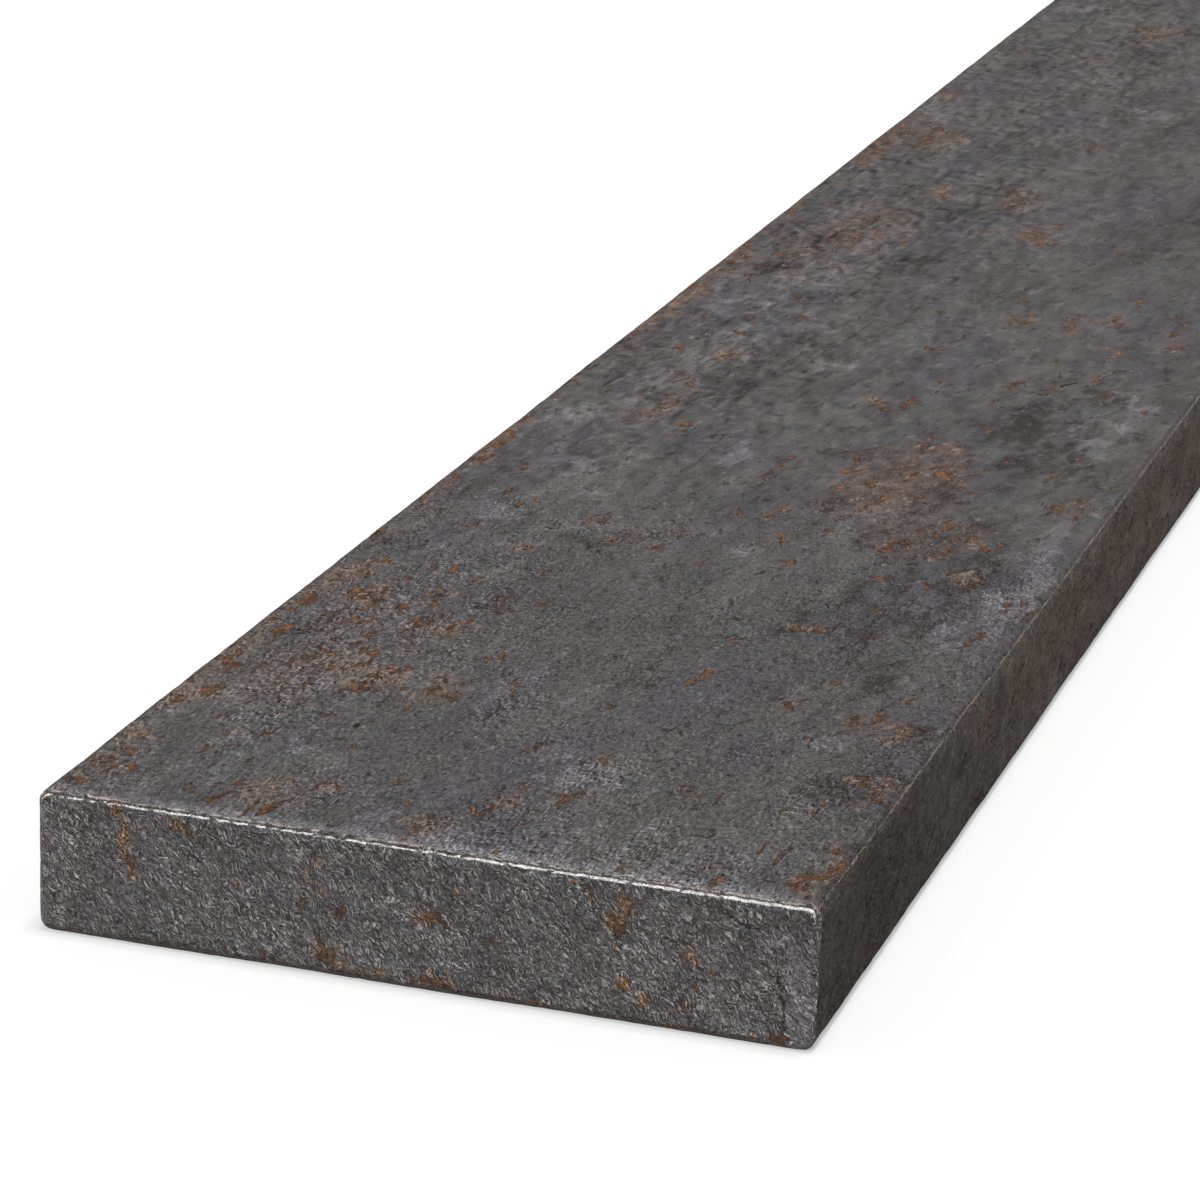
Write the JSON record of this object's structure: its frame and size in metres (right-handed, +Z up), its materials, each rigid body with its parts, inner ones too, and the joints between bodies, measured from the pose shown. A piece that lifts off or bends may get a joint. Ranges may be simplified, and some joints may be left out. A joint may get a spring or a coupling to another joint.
{
  "type": "metal flat bar",
  "caption": "Hot-rolled steel flat bar, plain and undrilled, with dark rusted mill scale and cut ends, for cutting, welding or bolting into frames and brackets.",
  "frame": {"origin": "centre of the wide face that the bar lies on", "axes": "+Y along the bar, towards the far cut end; +X across its width; +Z up out of the upper wide face"},
  "size_m": [0.08, 1, 0.015],
  "materials": {
    "mill_scale_steel": "matte"
  },
  "bodies": {
    "root": {"flat_bar": "mill_scale_steel"}
  },
  "joints": []
}
